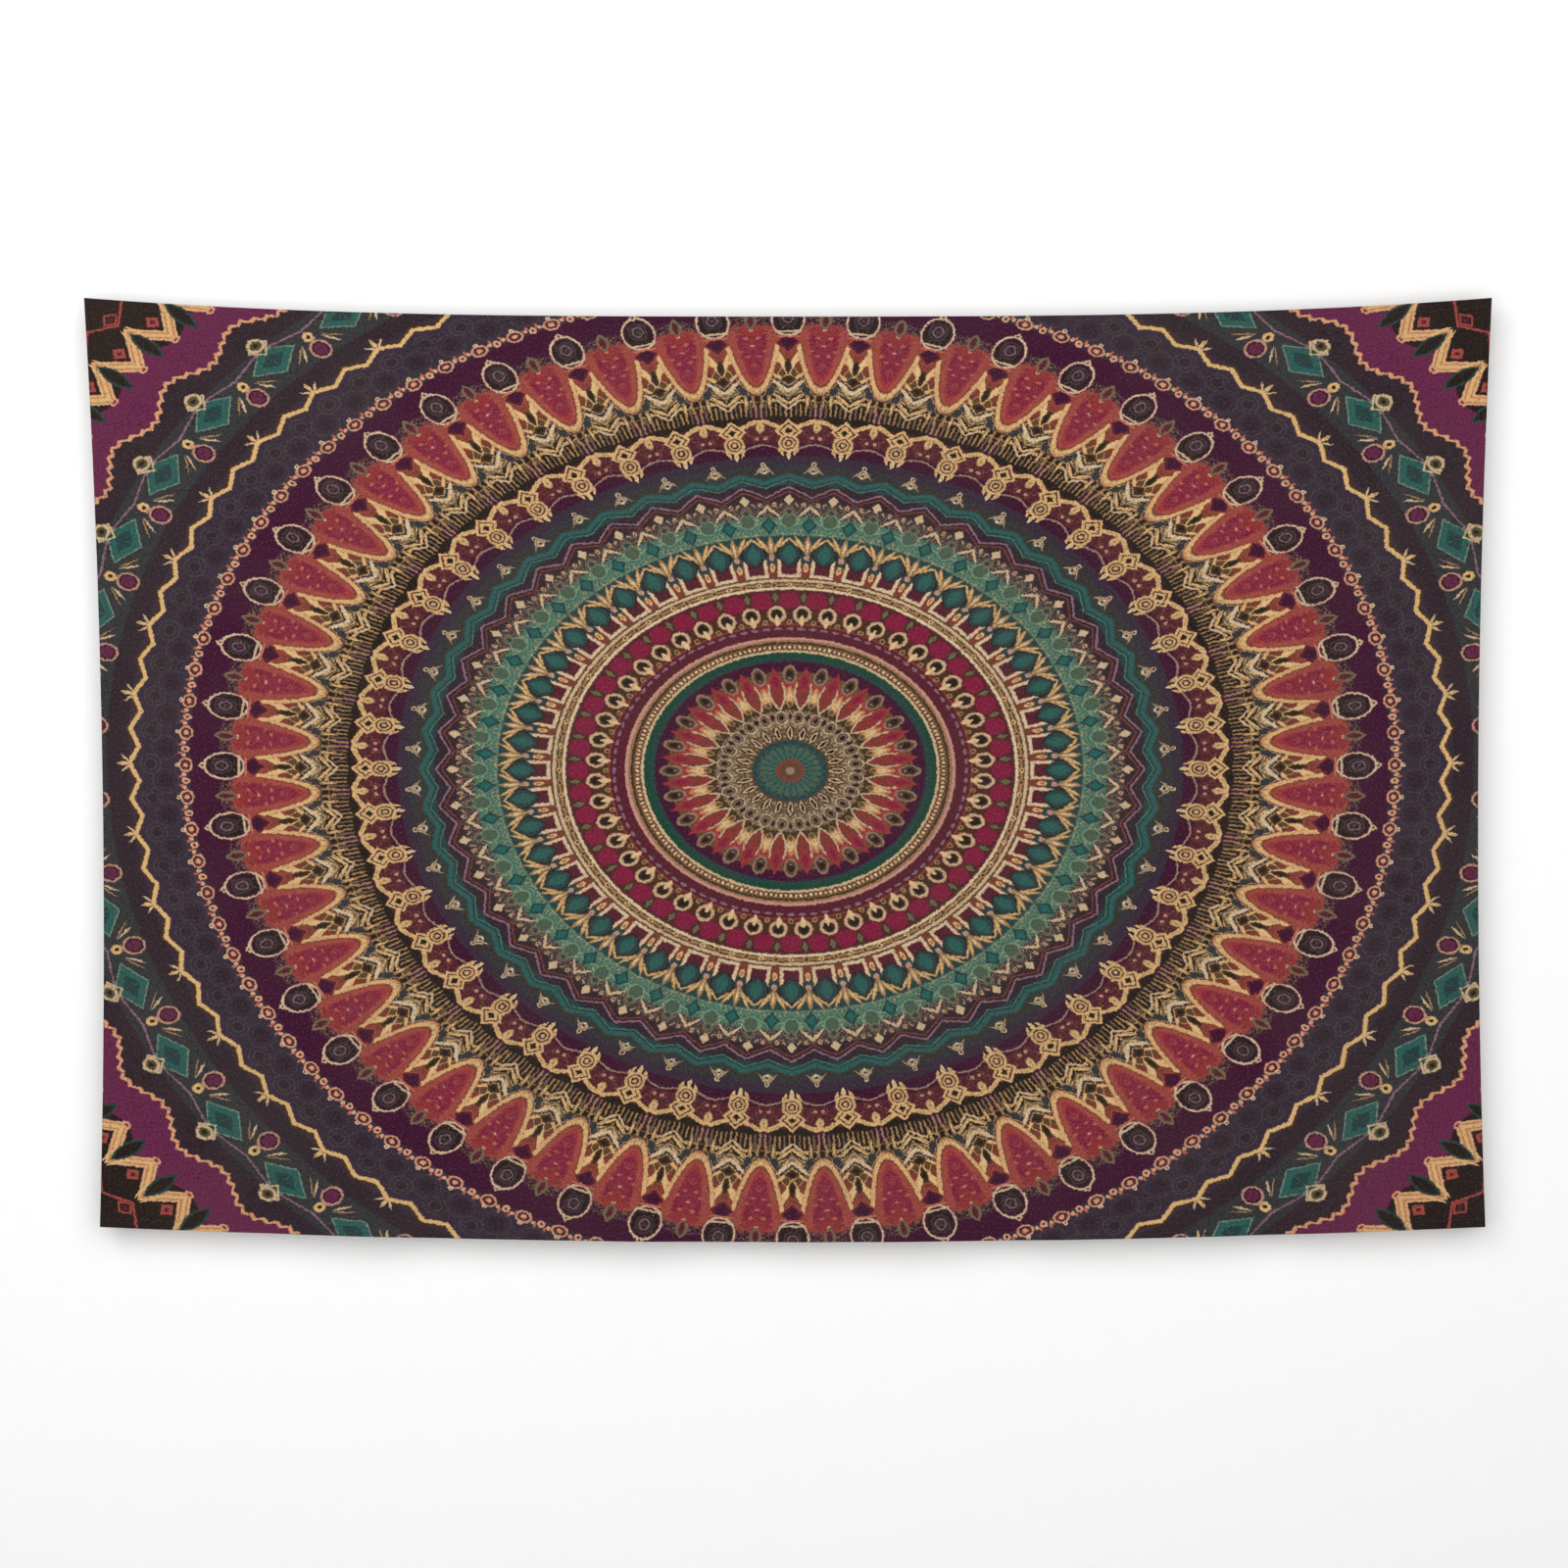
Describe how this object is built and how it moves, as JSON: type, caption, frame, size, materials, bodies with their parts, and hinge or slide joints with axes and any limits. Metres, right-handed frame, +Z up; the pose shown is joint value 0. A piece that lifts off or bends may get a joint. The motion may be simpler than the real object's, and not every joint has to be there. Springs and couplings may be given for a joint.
{
  "type": "tapestry wall hanging",
  "caption": "Landscape printed cloth wall hanging with sagging top edge, double-turned stitched hems, braid hanging loops behind the top corners and a blank care label.",
  "frame": {"origin": "the middle of the line on which the two wall hooks bear, inside the tops of the hanging loops, in the middle of the braid's thickness", "axes": "+Z up; the printed face looks along -Y and the wall is on the +Y side; +X is to the right for someone who faces the print, along the line between the two hooks"},
  "size_m": [1.5, 0.0027, 1.006],
  "materials": {
    "printed_cloth": "light plain-weave polyester, printed on the face in maroon, gold, teal and aubergine, pale on the back",
    "hem_cloth": "the same printed cloth, double-turned so that its face shows on the back",
    "sewing_thread": "spun polyester thread, slightly glossy",
    "braid": "flat braided cord, matt",
    "label_satin": "blank woven satin label"
  },
  "bodies": {
    "cloth": {"cloth_panel": "printed_cloth", "top_hem": "hem_cloth", "bottom_hem": "hem_cloth", "left_hem": "hem_cloth", "right_hem": "hem_cloth", "top_needle_thread": "sewing_thread", "bottom_needle_thread": "sewing_thread", "left_needle_thread": "sewing_thread", "right_needle_thread": "sewing_thread", "top_bobbin_thread": "sewing_thread", "bottom_bobbin_thread": "sewing_thread", "left_bobbin_thread": "sewing_thread", "right_bobbin_thread": "sewing_thread", "left_loop_ends": "braid", "right_loop_ends": "braid", "left_loop_tack": "sewing_thread", "right_loop_tack": "sewing_thread", "care_label_edge": "label_satin", "care_label_stitches": "sewing_thread"},
    "left_loop": {"left_loop": "braid"},
    "right_loop": {"right_loop": "braid"},
    "care_label": {"care_label": "label_satin"}
  },
  "joints": [
    {"name": "left_loop_flip", "type": "hinge", "parent": "cloth", "child": "left_loop", "pos_m": [-0.741, 0, -0.017], "axis": [-1, 0, 0], "range_deg": [0, 120]},
    {"name": "right_loop_flip", "type": "hinge", "parent": "cloth", "child": "right_loop", "pos_m": [0.741, 0, -0.017], "axis": [-1, 0, 0], "range_deg": [0, 120]},
    {"name": "care_label_flip", "type": "hinge", "parent": "cloth", "child": "care_label", "pos_m": [-0.72224, -0.0003, -0.871], "axis": [0, 0, 1], "range_deg": [0, 150]}
  ]
}
